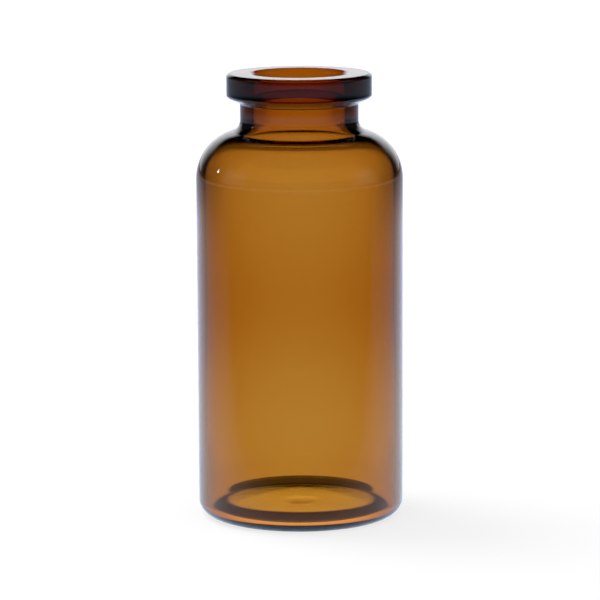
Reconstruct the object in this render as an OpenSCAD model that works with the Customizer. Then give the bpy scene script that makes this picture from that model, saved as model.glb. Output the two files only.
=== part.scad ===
// Glass sample vial with a crimp finish, drawn from one length of tube.
// Millimetres. The origin is the centre of the foot, and +Z runs up the axis.
// The whole vial is one section, turned about its axis.

/* [Body] */
// Outside diameter of the body
body_d = 28.5; // [26:0.1:32]
// Height from the table to the top of the lip
total_h = 61.7; // [45:0.1:110]
// Thickness of the tube wall
wall_t = 1.2; // [0.9:0.05:1.6]

/* [Shoulder and neck] */
// Radius of the round shoulder, outside
shoulder_r = 6.7; // [6:0.1:8]
// Outside diameter of the neck
neck_d = 16.3; // [15.4:0.1:17.2]
// Radius of the hollow curve where the shoulder turns up into the neck
neck_hollow_r = 1.7; // [1:0.1:3]
// Straight height of the neck between that curve and the rim
neck_h = 2.35; // [1:0.05:10]
// Radius of the soft edge where the bore opens into the shoulder
throat_r = 3.2; // [1:0.1:3.6]

/* [Rim and bore] */
// Outside diameter of the rim that the crimp cap grips
rim_d = 20; // [19:0.1:21.5]
// Height of the rim where it meets the neck
rim_h = 4.1; // [3:0.05:6]
// Rise of the rim's underside, from the neck to its outer edge
rim_rise = 0.85; // [0.2:0.05:1.2]
// Rounding of the rim's outer edges
rim_edge_r = 0.5; // [0.2:0.05:0.8]
// Rounding of the corner under the rim
rim_hollow_r = 0.3; // [0.1:0.05:0.6]
// Diameter of the bore that takes the stopper
bore_d = 12.6; // [11.5:0.1:13.2]
// Rounding of the mouth, where the bore meets the lip
mouth_r = 0.7; // [0.2:0.05:1]

/* [Foot and floor] */
// Outside radius of the heel
heel_r = 2.2; // [1.6:0.1:4]
// Radius of the hollow corner inside, between wall and floor
inner_heel_r = 1; // [0.6:0.1:4]
// Width of the flat ring that the vial stands on
foot_w = 0.8; // [0.3:0.1:2]
// Rounding between that ring and the push-up
foot_edge_r = 3.2; // [0.5:0.1:4]
// Height of the push-up at the centre of the foot
push_up_h = 0.4; // [0.2:0.05:2]
// Thickness of the floor at its centre
floor_t = 1.2; // [0.7:0.05:2.5]
// Rise of the floor inside, from its edge to its centre
floor_rise = 0.4; // [0.1:0.05:0.9]
// Diameter of the mark left at the centre of the floor where the tube was sealed
seal_mark_d = 3.7; // [2:0.1:6]
// Height of that mark
seal_mark_h = 0.12; // [0.05:0.01:0.3]

/* [Hidden] */
$fn = 96;
amber = [0.65, 0.4, 0.15];
// How far a cut runs past the face that it opens
clear = 1;
// Overlap of two curves that touch, so that they join cleanly
join = 0.0002;

body_r = body_d / 2;
cavity_r = body_r - wall_t;
neck_r = neck_d / 2;
bore_r = bore_d / 2;
rim_r = rim_d / 2;

// Height over which a round curve and a hollow one take the outline in from one radius to another
function ogee_h(wide_r, narrow_r, round_r, hollow_r) =
    sqrt(pow(round_r + hollow_r - join, 2) - pow(narrow_r + hollow_r - wide_r + round_r, 2));

// Radius of a shallow dome that rises from a rounded edge and touches its circle
function dome_r(edge_x, edge_r, rise) =
    (pow(edge_x, 2) + pow(edge_r - rise, 2) - pow(edge_r, 2)) / (2 * rise);

under_rim_z = total_h - rim_h;
neck_z = under_rim_z - neck_h;
shoulder_z = neck_z - ogee_h(body_r, neck_r, shoulder_r, neck_hollow_r);
inner_shoulder_r = shoulder_r - wall_t;
floor_z = push_up_h + floor_t;
floor_edge_z = floor_z - floor_rise;

// Outline from the axis out: a round shoulder above z = 0 that turns up in a hollow curve,
// and below it a length of the cylinder that it closes
module ogee(wide_r, narrow_r, round_r, hollow_r) {
    round_c = [wide_r - round_r, 0];
    hollow_c = [narrow_r + hollow_r, ogee_h(wide_r, narrow_r, round_r, hollow_r)];
    translate([0, -round_r]) square([wide_r, round_r]);
    difference() {
        union() {
            intersection() {
                translate(round_c) circle(round_r);
                square([wide_r, round_r]);
            }
            polygon([[0, 0], round_c, hollow_c, [0, hollow_c[1]]]);
        }
        translate(hollow_c) circle(hollow_r);
    }
}

// Outline of a cylinder on z = 0 whose lower edge is rounded
module heeled(r, h, edge_r) {
    translate([r - edge_r, edge_r]) circle(edge_r);
    square([r - edge_r, h]);
    translate([0, edge_r]) square([r, h - edge_r]);
}

// Outline under a shallow dome that ends in the hollow beside a round edge
module domed(edge_x, edge_r, rise) {
    dome = dome_r(edge_x, edge_r, rise);
    depth = dome - rise;
    // Where the line between the two curves' centres meets z = 0
    meet_x = edge_x * depth / (depth + edge_r);
    difference() {
        union() {
            intersection() {
                translate([0, -depth]) circle(dome + join, $fn = 8 * $fn);
                square([edge_x, rise + join]);
            }
            polygon([[meet_x, 0], [edge_x, 0], [edge_x, edge_r]]);
        }
        translate([edge_x, edge_r]) circle(edge_r);
    }
}

// Outline of the rim, with its sloping underside and its rounded edges
module rim() {
    slope = atan2(rim_rise, rim_r - neck_r);
    normal = [-sin(slope), cos(slope)];
    corner = [neck_r, under_rim_z];
    edge_x = rim_r - rim_edge_r;
    // The lower edge's circle touches the side and the slope
    low_z = under_rim_z + rim_edge_r / cos(slope) + (edge_x - neck_r) * tan(slope);
    low_touch = [edge_x, low_z] - (rim_edge_r - join) * normal;
    top_z = total_h - rim_edge_r;
    polygon([[0, under_rim_z], corner, low_touch, [edge_x, low_z], [edge_x, total_h], [0, total_h]]);
    translate([0, low_z]) square([rim_r, top_z - low_z]);
    for (z = [low_z, top_z]) {
        translate([edge_x, z]) circle(rim_edge_r);
    }
    // The hollow corner below touches the neck and the slope
    hollow_c = [neck_r + rim_hollow_r, under_rim_z - rim_hollow_r * (1 - sin(slope)) / cos(slope)];
    difference() {
        polygon([corner, [neck_r, hollow_c[1]], hollow_c, hollow_c + rim_hollow_r * normal]);
        translate(hollow_c) circle(rim_hollow_r + join);
    }
}

// Outline of a shallow cap on z = 0, with its foot sunk in what it stands on
module cap(d, h, sunk) {
    round_r = (pow(d / 2, 2) + pow(h, 2)) / (2 * h);
    translate([0, h - round_r]) {
        intersection() {
            circle(round_r, $fn = 8 * $fn);
            translate([0, round_r - h - sunk]) square([round_r, h + sunk]);
        }
    }
}

module outside() {
    heeled(body_r, shoulder_z, heel_r);
    translate([0, shoulder_z]) ogee(body_r, neck_r, shoulder_r, neck_hollow_r);
    translate([0, shoulder_z]) square([neck_r, total_h - rim_edge_r - shoulder_z]);
    rim();
}

module inside() {
    difference() {
        translate([0, floor_edge_z]) heeled(cavity_r, shoulder_z - floor_edge_z, inner_heel_r);
        translate([0, floor_edge_z]) domed(cavity_r - inner_heel_r, inner_heel_r, floor_rise);
        translate([0, floor_z]) cap(seal_mark_d, seal_mark_h, floor_t / 2);
    }
    translate([0, shoulder_z]) ogee(cavity_r, bore_r, inner_shoulder_r, throat_r);
    translate([0, shoulder_z]) square([bore_r, total_h - shoulder_z + clear]);
    translate([0, total_h - mouth_r]) {
        difference() {
            square([bore_r + mouth_r, mouth_r + clear]);
            translate([bore_r + mouth_r, 0]) circle(mouth_r);
        }
    }
}

module vial() {
    color(amber) rotate_extrude() {
        difference() {
            outside();
            inside();
            domed(body_r - heel_r - foot_w, foot_edge_r, push_up_h);
        }
    }
}

vial();
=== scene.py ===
from math import atan2, ceil, cos, degrees, exp, pi, radians, sin, sqrt, tau

import bmesh
import bpy
from mathutils import Matrix, Vector


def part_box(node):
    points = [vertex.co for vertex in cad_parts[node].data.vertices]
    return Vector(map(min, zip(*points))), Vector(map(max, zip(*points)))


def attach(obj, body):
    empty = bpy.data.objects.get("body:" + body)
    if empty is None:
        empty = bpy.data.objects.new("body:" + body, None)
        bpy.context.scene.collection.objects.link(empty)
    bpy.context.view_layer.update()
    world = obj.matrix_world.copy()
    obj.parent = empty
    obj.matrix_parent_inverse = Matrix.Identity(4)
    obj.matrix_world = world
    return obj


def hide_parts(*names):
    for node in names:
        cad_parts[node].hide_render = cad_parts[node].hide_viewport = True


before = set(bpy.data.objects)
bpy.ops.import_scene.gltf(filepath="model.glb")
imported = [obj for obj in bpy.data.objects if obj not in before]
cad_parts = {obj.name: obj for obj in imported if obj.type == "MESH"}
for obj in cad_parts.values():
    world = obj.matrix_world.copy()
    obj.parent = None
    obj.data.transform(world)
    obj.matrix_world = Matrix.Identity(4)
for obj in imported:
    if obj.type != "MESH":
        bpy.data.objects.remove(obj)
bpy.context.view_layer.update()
vialLow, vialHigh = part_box("vial")
mm = 0.001
white = (1, 1, 1, 1)
print("frame loaded")


def addNode(tree, kind, inputs=None, **settings):
    # Inputs go by name or number, and each is a value or another node's socket
    node = tree.nodes.new("ShaderNode" + kind)
    for name, value in settings.items():
        setattr(node, name, value)
    for name, value in (inputs or {}).items():
        if isinstance(value, bpy.types.NodeSocket):
            tree.links.new(value, node.inputs[name])
        else:
            node.inputs[name].default_value = value
    return node


def addMath(tree, operation, *values):
    return addNode(tree, "Math", dict(enumerate(values)), operation=operation).outputs[0]


def times(tree, first, *others):
    for other in others:
        first = addMath(tree, "MULTIPLY", first, other)
    return first


def without(tree, share):
    # What is left of one when that share is gone
    return addMath(tree, "SUBTRACT", 1.0, share)


def mixNumbers(tree, share, first, second):
    # first where share is 0, second where it is 1
    keep = times(tree, first, without(tree, share))
    return addMath(tree, "ADD", keep, times(tree, second, share))


def mixColours(tree, share, first, second):
    mix = addNode(tree, "MixRGB", {"Fac": share, "Color1": first, "Color2": second})
    return mix.outputs["Color"]


def smoothRange(tree, value, low, high, atLow, atHigh):
    span = {
        "Value": value,
        "From Min": low,
        "From Max": high,
        "To Min": atLow,
        "To Max": atHigh,
    }
    return addNode(tree, "MapRange", span, interpolation_type="SMOOTHSTEP").outputs["Result"]


# The camera stands a little above the vial and looks down at it with a long lens
cameraView = {
    "lens": 206.1,
    "sensor": 36.0,
    "place": (-0.00001, -0.470, 0.1103),
    "pitch": -9.69,
    "roll": -0.258,
    "clip": (0.01, 20.0),
}


def placeCamera(view):
    data = bpy.data.cameras.new("viewCamera")
    data.lens = view["lens"]
    data.sensor_width = view["sensor"]
    data.clip_start, data.clip_end = view["clip"]
    camera = bpy.data.objects.new("viewCamera", data)
    tilt = Matrix.Rotation(radians(90 + view["pitch"]), 4, "X")
    roll = Matrix.Rotation(radians(view["roll"]), 4, "Z")
    camera.matrix_world = Matrix.Translation(view["place"]) @ tilt @ roll
    bpy.context.scene.collection.objects.link(camera)
    bpy.context.scene.camera = camera


placeCamera(cameraView)
print("camera placed")


# One wall of tube glass, gathered in at the shoulder and flared into a rim. Sizes in millimetres
glass = {
    "wall": 1.2,
    "wallLow": 1.02,  # a drawn wall is never quite even: thin above the foot, thickest half way up
    "wallGain": 0.0047,
    "wallSwell": 0.19,
    "swellAt": 29.5,
    "swellWide": 5.5,
    "wallEase": 9.0,  # how long the wall takes to leave its plain thickness at each end
    "shoulderRound": 6.7,
    "neckAcross": 16.3,
    "neckHollow": 1.7,
    "neckTall": 2.35,
    "throatRound": 3.2,
    "rimTall": 4.1,
    "rimAcross": 20.0,
    "rimRise": 0.85,
    "rimEdge": 0.5,
    "rimHollow": 0.3,
    "boreAcross": 12.6,
    "mouthRound": 0.7,
    "heelRound": 2.2,
    "innerHeel": 1.0,
    "footWide": 0.8,
    "footEdge": 3.2,
    "pushUp": 0.4,
    "floorThick": 1.2,
    "floorRise": 0.4,
    "sealAcross": 3.7,
    "sealTall": 0.03,
    "wallStep": 1.2,  # length of a straight step
    "arcStep": 4.5,  # degrees of a curve to each step
    "leastSteps": {
        "pushUp": 20,
        "footEdge": 4,
        "heel": 16,
        "shoulder": 16,
        "neckHollow": 12,
        "rimHollow": 5,
        "rimLow": 6,
        "rimTop": 8,
        "mouth": 8,
        "throat": 12,
        "innerShoulder": 16,
        "innerHeel": 14,
        "floor": 16,
        "seal": 8,
    },
    "turnSteps": 288,
    "wedges": 16,
    "mergeWithin": 0.002,
}


def towards(start, end, distance):
    # The point that far from start on the way to end
    way = Vector(end) - Vector(start)
    return Vector(start) + way * (distance / way.length)


def arcTo(bm, vert, centre, end, leastSteps):
    # Spins the last point of the outline round a centre until it meets end
    now = (vert.co.x - centre[0], vert.co.z - centre[1])
    then = (end[0] - centre[0], end[1] - centre[1])
    turn = atan2(then[0], then[1]) - atan2(now[0], now[1])
    turn = (turn + pi) % tau - pi
    made = bmesh.ops.spin(
        bm,
        geom=[vert],
        cent=(centre[0], 0, centre[1]),
        axis=(0, 1, 0),
        angle=turn,
        steps=max(leastSteps, ceil(degrees(abs(turn)) / glass["arcStep"])),
        use_merge=False,
        use_duplicate=False,
    )
    return [piece for piece in made["geom_last"] if isinstance(piece, bmesh.types.BMVert)][0]


def lineTo(bm, vert, end):
    # Extrudes the last point of the outline straight to end, in short steps
    start = vert.co.copy()
    way = Vector((end[0], 0, end[1])) - start
    count = ceil(way.length / glass["wallStep"])
    for step in range(count):
        vert = bmesh.ops.extrude_vert_indiv(bm, verts=[vert])["verts"][0]
        vert.co = start + way * ((step + 1) / count)
    return vert


def wallTo(bm, vert, bodyR, endZ, size):
    # The inner wall, whose thickness swells and thins on its way down
    startZ = vert.co.z
    count = ceil((startZ - endZ) / size["wallStep"])
    for step in range(1, count + 1):
        z = startZ + (endZ - startZ) * step / count
        away = (z - size["swellAt"]) / size["swellWide"]
        thick = size["wallLow"] + size["wallGain"] * z + size["wallSwell"] * exp(-away ** 2 / 2)
        ease = min(1, (startZ - z) / size["wallEase"], (z - endZ) / size["wallEase"])
        ease = ease * ease * (3 - 2 * ease)
        vert = bmesh.ops.extrude_vert_indiv(bm, verts=[vert])["verts"][0]
        vert.co = (bodyR - size["wall"] - (thick - size["wall"]) * ease, 0, z)
    return vert


def domeRound(edgeX, edgeRound, rise):
    # Radius of a dome of that rise that runs smoothly into an edge of that rounding
    return (edgeX ** 2 + (edgeRound - rise) ** 2 - edgeRound ** 2) / (2 * rise)


def drawOutline(bm, size):
    high = (vialHigh.z - vialLow.z) / mm
    bodyR = (vialHigh.x - vialLow.x) / 2 / mm
    neckR = size["neckAcross"] / 2
    boreR = size["boreAcross"] / 2
    rimR = size["rimAcross"] / 2
    cavityR = bodyR - size["wall"]
    steps = size["leastSteps"]

    # Foot: a pushed-up dome, its rounded edge, a narrow ring and the heel
    footX = bodyR - size["heelRound"] - size["footWide"]
    dome = domeRound(footX, size["footEdge"], size["pushUp"])
    domeCentre = (0, size["pushUp"] - dome)
    edgeCentre = (footX, size["footEdge"])
    heelCentre = (bodyR - size["heelRound"], size["heelRound"])
    vert = bm.verts.new((0, 0, size["pushUp"]))
    touch = towards(edgeCentre, domeCentre, size["footEdge"])
    vert = arcTo(bm, vert, domeCentre, touch, steps["pushUp"])
    vert = arcTo(bm, vert, edgeCentre, (footX, 0), steps["footEdge"])
    vert = lineTo(bm, vert, (footX + size["footWide"], 0))
    vert = arcTo(bm, vert, heelCentre, (bodyR, size["heelRound"]), steps["heel"])

    # Wall, shoulder and neck
    underRim = high - size["rimTall"]
    neckZ = underRim - size["neckTall"]
    hollowCentre = (neckR + size["neckHollow"], neckZ)
    shoulderX = bodyR - size["shoulderRound"]
    reach = size["shoulderRound"] + size["neckHollow"]
    shoulderZ = neckZ - sqrt(reach ** 2 - (hollowCentre[0] - shoulderX) ** 2)
    shoulderCentre = (shoulderX, shoulderZ)
    vert = lineTo(bm, vert, (bodyR, shoulderZ))
    touch = towards(shoulderCentre, hollowCentre, size["shoulderRound"])
    vert = arcTo(bm, vert, shoulderCentre, touch, steps["shoulder"])
    vert = arcTo(bm, vert, hollowCentre, (neckR, neckZ), steps["neckHollow"])

    # Rim, with its sloping underside
    slope = atan2(size["rimRise"], rimR - neckR)
    slopeUp = Vector((-sin(slope), cos(slope)))
    cornerZ = underRim - size["rimHollow"] * (1 - sin(slope)) / cos(slope)
    cornerCentre = Vector((neckR + size["rimHollow"], cornerZ))
    rimX = rimR - size["rimEdge"]
    lowZ = underRim + size["rimEdge"] / cos(slope) + (rimX - neckR) * sin(slope) / cos(slope)
    lowCentre = Vector((rimX, lowZ))
    topCentre = (rimX, high - size["rimEdge"])
    touch = cornerCentre + size["rimHollow"] * slopeUp
    vert = lineTo(bm, vert, (neckR, cornerZ))
    vert = arcTo(bm, vert, cornerCentre, touch, steps["rimHollow"])
    vert = lineTo(bm, vert, lowCentre - size["rimEdge"] * slopeUp)
    vert = arcTo(bm, vert, lowCentre, (rimR, lowZ), steps["rimLow"])
    vert = lineTo(bm, vert, (rimR, topCentre[1]))
    vert = arcTo(bm, vert, topCentre, (rimX, high), steps["rimTop"])

    # Lip, mouth, bore, and the throat that opens into the shoulder
    mouthX = boreR + size["mouthRound"]
    mouthCentre = (mouthX, high - size["mouthRound"])
    innerRound = size["shoulderRound"] - size["wall"]
    throatX = boreR + size["throatRound"]
    reach = innerRound + size["throatRound"]
    throatZ = shoulderZ + sqrt(reach ** 2 - (throatX - shoulderX) ** 2)
    throatCentre = (throatX, throatZ)
    vert = lineTo(bm, vert, (mouthX, high))
    vert = arcTo(bm, vert, mouthCentre, (boreR, mouthCentre[1]), steps["mouth"])
    vert = lineTo(bm, vert, (boreR, throatZ))
    touch = towards(throatCentre, shoulderCentre, size["throatRound"])
    vert = arcTo(bm, vert, throatCentre, touch, steps["throat"])
    vert = arcTo(bm, vert, shoulderCentre, (cavityR, shoulderZ), steps["innerShoulder"])

    # Inner wall, heel, the domed floor and the low seal mark at its middle
    floorZ = size["pushUp"] + size["floorThick"]
    innerX = cavityR - size["innerHeel"]
    innerCentre = (innerX, floorZ - size["floorRise"] + size["innerHeel"])
    floorDome = domeRound(innerX, size["innerHeel"], size["floorRise"])
    floorCentre = (0, floorZ - floorDome)
    sealHalf = size["sealAcross"] / 2
    sealRound = (sealHalf ** 2 + size["sealTall"] ** 2) / (2 * size["sealTall"])
    sealTop = floorZ + size["sealTall"]
    sealCentre = (0, sealTop - sealRound)
    between = sealCentre[1] - floorCentre[1]
    meetZ = (floorDome ** 2 - sealRound ** 2 - between ** 2) / (2 * between) + sealCentre[1]
    meetR = sqrt(sealRound ** 2 - (meetZ - sealCentre[1]) ** 2)
    vert = wallTo(bm, vert, bodyR, innerCentre[1], size)
    touch = towards(innerCentre, floorCentre, size["innerHeel"])
    vert = arcTo(bm, vert, innerCentre, touch, steps["innerHeel"])
    vert = arcTo(bm, vert, floorCentre, (meetR, meetZ), steps["floor"])
    arcTo(bm, vert, sealCentre, (0, sealTop), steps["seal"])


def makeVial(size):
    bm = bmesh.new()
    drawOutline(bm, size)
    bmesh.ops.scale(bm, vec=(mm, mm, mm), verts=bm.verts[:])
    # One wedge is spun, and then copied round
    wedge = tau / size["wedges"]
    bmesh.ops.spin(
        bm,
        geom=bm.verts[:] + bm.edges[:],
        cent=(0, 0, 0),
        axis=(0, 0, 1),
        angle=wedge,
        steps=size["turnSteps"] // size["wedges"],
        use_merge=False,
        use_duplicate=False,
    )
    bmesh.ops.spin(
        bm,
        geom=bm.verts[:] + bm.edges[:] + bm.faces[:],
        cent=(0, 0, 0),
        axis=(0, 0, 1),
        angle=tau - wedge,
        steps=size["wedges"] - 1,
        use_merge=False,
        use_duplicate=True,
    )
    bmesh.ops.remove_doubles(bm, verts=bm.verts[:], dist=size["mergeWithin"] * mm)
    bmesh.ops.recalc_face_normals(bm, faces=bm.faces[:])
    for face in bm.faces:
        face.smooth = True
    mesh = bpy.data.meshes.new("vialGlass")
    bm.to_mesh(mesh)
    bm.free()
    piece = bpy.data.objects.new("vialGlass", mesh)
    bpy.context.scene.collection.objects.link(piece)
    return piece


vialGlass = makeVial(glass)
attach(vialGlass, "root")
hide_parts("vial")
print("vial spun,", len(vialGlass.data.polygons), "faces")

amber = {
    "ior": 1.5,
    "absorb": (0.810, 0.577, 0.004, 1),
    "perMetre": 1610,
    "streakScale": (900, 900, 25),  # drawn out along the tube
    "streakDetail": 2.0,
    "streakSpan": (0.3, 0.8),
    "streakRough": 0.004,
    "streakBump": 0.02,
    "streakDeep": 0.0001,
}


def amberGlass(tint):
    material = bpy.data.materials.new("amberGlass")
    material.use_nodes = True
    tree = material.node_tree
    tree.nodes.clear()
    place = addNode(tree, "TexCoord").outputs["Object"]
    streakPlace = addNode(tree, "Mapping", {"Vector": place, "Scale": tint["streakScale"]})
    streaks = addNode(
        tree,
        "TexNoise",
        {
            "Vector": streakPlace.outputs["Vector"],
            "Scale": 1.0,
            "Detail": tint["streakDetail"],
        },
    ).outputs["Fac"]
    waves = addNode(
        tree,
        "Bump",
        {
            "Height": streaks,
            "Strength": tint["streakBump"],
            "Distance": tint["streakDeep"],
        },
    )
    surface = addNode(
        tree,
        "BsdfPrincipled",
        {
            "Base Color": white,
            "Roughness": smoothRange(tree, streaks, *tint["streakSpan"], 0.0, tint["streakRough"]),
            "IOR": tint["ior"],
            "Transmission Weight": 1.0,
            "Normal": waves.outputs["Normal"],
        },
    )
    inside = addNode(
        tree, "VolumeAbsorption", {"Color": tint["absorb"], "Density": tint["perMetre"]}
    )
    addNode(
        tree,
        "OutputMaterial",
        {"Surface": surface.outputs["BSDF"], "Volume": inside.outputs["Volume"]},
    )
    return material


vialGlass.data.materials.append(amberGlass(amber))
print("glass finished")

# The wall and the lights round the vial. The light that has only passed through the glass, the light
# that its outside reflects and the light that has turned about inside it each see their own, so that
# the glass stays clear and its edges cool. Angles are in degrees, to the side from straight behind
# the vial or up from the table, and each pair is where a change starts and where it ends
backdrop = {
    "roomLight": 0.6,  # on the table
    # Straight through the glass: a white wall with a dark card to each side
    "through": (3.1, 8.7),
    "throughLeft": 0.32,
    "cardFrom": (2.0, 14.0),
    "cardTo": (60.0, 95.0),
    "cardDark": 0.13,
    # In its outside: a white wall and a soft light to each side
    "wallCool": (0.94, 0.96, 1.0, 1),
    "wallHigh": (16.0, 25.0),
    "wallSpan": (9.6, 40.0),
    "wallDim": 0.03,  # what is left of it beyond that
    "wallShine": 1.25,
    "boxFrom": (80.0, 92.0),
    "boxTo": (108.0, 125.0),
    "boxHigh": (18.0, 34.0),
    "boxShine": 0.3,
    "sparks": (  # small lamps: bearing, height, half width, strength
        (-73.0, 13.5, 1.6, 40.0),
        (-72.5, 16.4, 0.7, 30.0),
    ),
    "sparkCore": 0.6,  # share of the half width that is at full strength
    # Inside it: a low window behind the vial and a light over the camera
    "innerHalf": (10.0, 27.0),
    "innerLow": (7.5, 8.5),
    "innerLean": 0.8,  # how much higher the window starts to the side
    "innerHigh": (11.0, 15.0),
    "innerShine": 0.9,
    "innerRest": 0.13,  # what the wall gives beside it
    "overFrom": (10.5, 15.5),
    "overTo": (42.0, 52.0),
    "overShine": 1.6,
}
leastFlat = 0.001  # keeps a way straight up from dividing by nothing


def countOnce(path, tree, name):
    # 0 while that has not happened to the light, 1 once it has
    return addMath(tree, "MINIMUM", path.outputs[name], 1.0)


def mixShaders(tree, share, first, second):
    return addNode(tree, "MixShader", {"Fac": share, 1: first, 2: second}).outputs["Shader"]


def byAngle(tree, cosine, span, atLow, atHigh):
    # From atLow to atHigh as the angle opens over the span, given its cosine
    low, high = (cos(radians(angle)) for angle in span)
    return smoothRange(tree, cosine, high, low, atHigh, atLow)


def byHeight(tree, sine, span, atLow, atHigh):
    low, high = (sin(radians(angle)) for angle in span)
    return smoothRange(tree, sine, low, high, atLow, atHigh)


def fromBehind(tree, y, flat):
    # Cosine of the angle to the side from straight behind the vial
    return addMath(tree, "DIVIDE", y, addMath(tree, "MAXIMUM", flat, leastFlat))


def addGlow(tree, kind, colour, strength):
    return addNode(tree, kind, {"Color": colour, "Strength": strength}).outputs[0]


def threeWays(tree, path, straight, outside, inside):
    # Chooses by what the light has been through
    reflected = countOnce(path, tree, "Glossy Depth")
    entered = countOnce(path, tree, "Transmission Depth")
    turned = mixShaders(tree, entered, outside, inside)
    return mixShaders(tree, reflected, straight, turned)


def seenThrough(tree, up, behind):
    level = byHeight(tree, up, backdrop["through"], 1.0, backdrop["throughLeft"])
    card = times(
        tree,
        byAngle(tree, behind, backdrop["cardFrom"], 0.0, backdrop["cardDark"]),
        byAngle(tree, behind, backdrop["cardTo"], 1.0, 0.0),
    )
    return times(tree, level, without(tree, card))


def addSpark(tree, way, spark):
    bearing, height, half, strength = spark
    flat = cos(radians(height))
    aim = (sin(radians(bearing)) * flat, cos(radians(bearing)) * flat, sin(radians(height)))
    along = addNode(tree, "VectorMath", {0: way, 1: aim}, operation="DOT_PRODUCT")
    core = half * backdrop["sparkCore"]
    return byAngle(tree, along.outputs["Value"], (core, half), strength, 0.0)


def seenOutside(tree, way, up, behind, wall):
    shine = times(tree, wall, backdrop["wallShine"])
    box = times(
        tree,
        byAngle(tree, behind, backdrop["boxFrom"], 0.0, backdrop["boxShine"]),
        byAngle(tree, behind, backdrop["boxTo"], 1.0, 0.0),
        byHeight(tree, up, backdrop["boxHigh"], 1.0, 0.0),
    )
    shine = addMath(tree, "ADD", shine, box)
    for spark in backdrop["sparks"]:
        shine = addMath(tree, "ADD", shine, addSpark(tree, way, spark))
    return shine


def seenInside(tree, parts, behind, wall):
    up = parts["Z"]
    aside = addMath(tree, "ABSOLUTE", parts["X"])
    leant = addMath(tree, "SUBTRACT", up, times(tree, aside, backdrop["innerLean"]))
    strip = byAngle(tree, behind, backdrop["innerHalf"], 1.0, 0.0)
    window = times(
        tree,
        byHeight(tree, leant, backdrop["innerLow"], 0.0, backdrop["innerShine"]),
        byHeight(tree, up, backdrop["innerHigh"], 1.0, 0.0),
        strip,
    )
    front = addMath(tree, "LESS_THAN", parts["Y"], 0.0)
    over = times(
        tree,
        byHeight(tree, up, backdrop["overFrom"], 0.0, backdrop["overShine"]),
        byHeight(tree, up, backdrop["overTo"], 1.0, 0.0),
    )
    rest = times(tree, wall, backdrop["innerRest"], without(tree, strip))
    return addMath(tree, "ADD", addMath(tree, "ADD", window, times(tree, front, over)), rest)


def makeWorld():
    world = bpy.data.worlds.new("paleStudio")
    world.use_nodes = True
    tree = world.node_tree
    tree.nodes.clear()
    path = addNode(tree, "LightPath")
    way = addNode(tree, "TexCoord").outputs["Generated"]
    parts = addNode(tree, "SeparateXYZ", {"Vector": way}).outputs
    up = parts["Z"]
    flat = addMath(tree, "SQRT", without(tree, times(tree, up, up)))
    behind = fromBehind(tree, parts["Y"], flat)
    wall = times(
        tree,
        byHeight(tree, up, backdrop["wallHigh"], 1.0, 0.0),
        byAngle(tree, behind, backdrop["wallSpan"], 1.0, backdrop["wallDim"]),
    )
    glassy = addMath(
        tree,
        "MAXIMUM",
        path.outputs["Is Glossy Ray"],
        path.outputs["Is Transmission Ray"],
    )
    room = addMath(tree, "MAXIMUM", path.outputs["Is Camera Ray"], backdrop["roomLight"])
    level = mixNumbers(tree, glassy, room, seenThrough(tree, up, behind))
    plain = addGlow(tree, "Background", white, level)
    outside = seenOutside(tree, way, up, behind, wall)
    cool = addGlow(tree, "Background", backdrop["wallCool"], outside)
    deep = addGlow(tree, "Background", white, seenInside(tree, parts, behind, wall))
    addNode(tree, "OutputWorld", {"Surface": threeWays(tree, path, plain, cool, deep)})
    bpy.context.scene.world = world


# The table, which the three kinds of light see in their own ways too. Lengths in metres
tableLook = {
    "size": 3.0,
    "paint": 0.28,
    "glow": (0.76, 0.90),  # close by and far off, where the lamp reaches less
    "glowSpan": (0.3, 1.2),
    # Straight through the glass
    "gathered": 2.25,  # light that the foot gathers under itself
    "gatheredTint": (0.93, 1.16, 1.0, 1),
    "cardSpan": (0.15, 0.36),  # where the card's shade starts and is whole
    "cardShade": 0.29,
    "hole": (0.0032, 0.0074, 0.0005, 0.72),  # discs: the middle's y, the radius, half the soft
    "ring": (0.0, 0.0126, 0.0005, 1.0),  # edge, and the share of x that counts
    "shadow": (0.0112, 0.0113, 0.0006, 1.0),
    "shadeKeep": 0.13,
    # In its outside: a cool pool of light and a faint band far off
    "shine": 2.0,
    "cool": (0.66, 0.80, 1.0, 1),
    "coolBehind": (0.64, 0.72, 1.0, 1),
    "behindSpan": (12.0, 40.0),  # degrees to the side over which it turns from the second tint
    "pool": 0.098,  # how far the pool reaches
    "poolPeak": 0.72,
    "poolFall": 1.9,
    "farFade": (0.265, 0.35, 0.55),  # where it starts to darken, where that ends, what is left
    "frontFade": (0.0, 0.047, 0.0),
    "bandFrom": (0.42, 0.52),
    "bandTo": (0.66, 0.85),
    "bandShine": 0.19,
    # Inside it: bright round the foot, with a dark strip behind
    "nearTo": (0.0140, 0.0155),
    "nearShine": (1.1, 1.9),  # at the sides and in front
    "nearTurn": (115.0, 155.0),
    "nearBack": (50.0, 90.0),  # darker behind the vial, whole from the second angle on
    "nearKeep": 0.1,
    "stripTo": (0.036, 0.051),
    "restShine": 0.64,
}


def discMask(tree, place, disc):
    # 1 inside a disc on the table, 0 outside it
    middle, radius, soft, narrow = disc
    shift = {"Vector": place, "Location": (0, -middle, 0), "Scale": (narrow, 1, 1)}
    moved = addNode(tree, "Mapping", shift).outputs["Vector"]
    off = addNode(tree, "VectorMath", {"Vector": moved}, operation="LENGTH").outputs["Value"]
    return smoothRange(tree, off, radius - soft, radius + soft, 1.0, 0.0)


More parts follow.
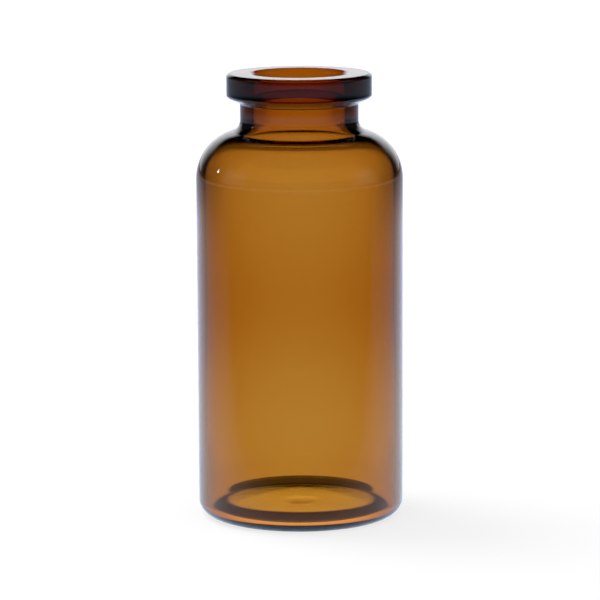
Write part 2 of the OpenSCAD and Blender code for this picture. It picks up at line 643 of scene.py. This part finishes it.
def poolOfLight(tree, out, y):
    # Curves of equal light are parabolas round the vial that open to the back
    reach = addMath(tree, "DIVIDE", addMath(tree, "SUBTRACT", out, y), tableLook["pool"])
    fall = addMath(tree, "ADD", addMath(tree, "POWER", reach, tableLook["poolFall"]), 1.0)
    fade = addMath(tree, "MINIMUM", addMath(tree, "DIVIDE", tableLook["poolPeak"], fall), 1.0)
    for along, name in ((out, "farFade"), (times(tree, y, -1.0), "frontFade")):
        start, end, keep = tableLook[name]
        fade = times(tree, fade, smoothRange(tree, along, start, end, 1.0, keep))
    band = times(
        tree,
        smoothRange(tree, out, *tableLook["bandFrom"], 0.0, tableLook["bandShine"]),
        smoothRange(tree, out, *tableLook["bandTo"], 1.0, 0.0),
    )
    return addMath(tree, "MAXIMUM", fade, band)


def footShade(tree, place, hole):
    # Shade that the foot's ring and the wall throw on the table, round a brighter middle
    shaded = addMath(
        tree,
        "MAXIMUM",
        discMask(tree, place, tableLook["ring"]),
        discMask(tree, place, tableLook["shadow"]),
    )
    shaded = times(tree, shaded, without(tree, hole))
    return mixNumbers(tree, shaded, 1.0, tableLook["shadeKeep"])


def cardShade(tree, out, behind):
    deepest = smoothRange(tree, out, *tableLook["cardSpan"], 0.0, tableLook["cardShade"])
    return times(
        tree,
        byAngle(tree, behind, backdrop["cardFrom"], 0.0, 1.0),
        byAngle(tree, behind, backdrop["cardTo"], 1.0, 0.0),
        deepest,
    )


def tableMaterial():
    material = bpy.data.materials.new("paleTable")
    material.use_nodes = True
    tree = material.node_tree
    tree.nodes.clear()
    path = addNode(tree, "LightPath")
    camera = path.outputs["Is Camera Ray"]
    position = addNode(tree, "NewGeometry").outputs["Position"]
    parts = addNode(tree, "SeparateXYZ", {"Vector": position}).outputs
    flatPlace = addNode(tree, "CombineXYZ", {"X": parts["X"], "Y": parts["Y"]})
    place = flatPlace.outputs["Vector"]
    out = addNode(tree, "VectorMath", {"Vector": place}, operation="LENGTH").outputs["Value"]
    behind = fromBehind(tree, parts["Y"], out)
    hole = discMask(tree, place, tableLook["hole"])
    lit = footShade(tree, place, hole)

    # Straight through the glass, and for the camera
    glow = mixNumbers(tree, hole, lit, tableLook["gathered"])
    glow = times(tree, glow, without(tree, cardShade(tree, out, behind)))
    ground = smoothRange(tree, out, *tableLook["glowSpan"], *tableLook["glow"])
    glow = mixNumbers(tree, camera, glow, ground)
    gatheredTint = mixColours(tree, hole, white, tableLook["gatheredTint"])
    plain = addGlow(tree, "Emission", gatheredTint, glow)

    # In its outside
    shine = times(tree, poolOfLight(tree, out, parts["Y"]), tableLook["shine"], lit)
    inLine = byAngle(tree, behind, tableLook["behindSpan"], 1.0, 0.0)
    coolTint = mixColours(tree, inLine, tableLook["cool"], tableLook["coolBehind"])
    cool = addGlow(tree, "Emission", coolTint, shine)

    # Inside it
    near = smoothRange(tree, out, *tableLook["nearTo"], 1.0, 0.0)
    strip = times(
        tree,
        byAngle(tree, behind, backdrop["innerHalf"], 1.0, 0.0),
        smoothRange(tree, out, *tableLook["stripTo"], 1.0, 0.0),
    )
    rest = times(tree, shine, tableLook["restShine"], without(tree, strip))
    close = times(
        tree,
        byAngle(tree, behind, tableLook["nearTurn"], *tableLook["nearShine"]),
        byAngle(tree, behind, tableLook["nearBack"], tableLook["nearKeep"], 1.0),
    )
    deepTint = mixColours(tree, near, coolTint, white)
    deep = addGlow(tree, "Emission", deepTint, mixNumbers(tree, near, rest, close))

    # The paint only shows to the camera, and keeps the vial's shadow
    paint = mixNumbers(tree, camera, 0.0, tableLook["paint"])
    colour = addNode(tree, "CombineColor", {"Red": paint, "Green": paint, "Blue": paint})
    diffuse = addNode(tree, "BsdfDiffuse", {"Color": colour.outputs["Color"]})
    lights = threeWays(tree, path, plain, cool, deep)
    both = addNode(tree, "AddShader", {0: lights, 1: diffuse.outputs["BSDF"]})
    addNode(tree, "OutputMaterial", {"Surface": both.outputs["Shader"]})
    return material


def makeTable():
    bm = bmesh.new()
    bmesh.ops.create_grid(bm, x_segments=1, y_segments=1, size=tableLook["size"])
    mesh = bpy.data.meshes.new("paleTable")
    bm.to_mesh(mesh)
    bm.free()
    table = bpy.data.objects.new("paleTable", mesh)
    table.data.materials.append(tableMaterial())
    bpy.context.scene.collection.objects.link(table)


# It throws the soft shadow, and the glass doesn't show it
softLamp = {
    "place": (-0.5, 0.3, 0.9),
    "aim": (0, 0, 0.03),
    "across": 0.7,
    "watts": 6.0,
}


def addLamp(look):
    data = bpy.data.lights.new("softLamp", "AREA")
    data.shape = "DISK"
    data.size = look["across"]
    data.energy = look["watts"]
    lamp = bpy.data.objects.new("softLamp", data)
    lamp.location = look["place"]
    aim = Vector(look["aim"]) - Vector(look["place"])
    lamp.rotation_euler = aim.to_track_quat("-Z", "Y").to_euler()
    lamp.visible_camera = False
    lamp.visible_glossy = False
    lamp.visible_transmission = False
    bpy.context.scene.collection.objects.link(lamp)


addLamp(softLamp)
makeWorld()
makeTable()

bounces = 32  # light turns about in the rim many times
scene = bpy.context.scene
scene.view_settings.view_transform = "Standard"
scene.cycles.max_bounces = bounces
scene.cycles.transmission_bounces = bounces
scene.cycles.glossy_bounces = bounces
print("studio ready")
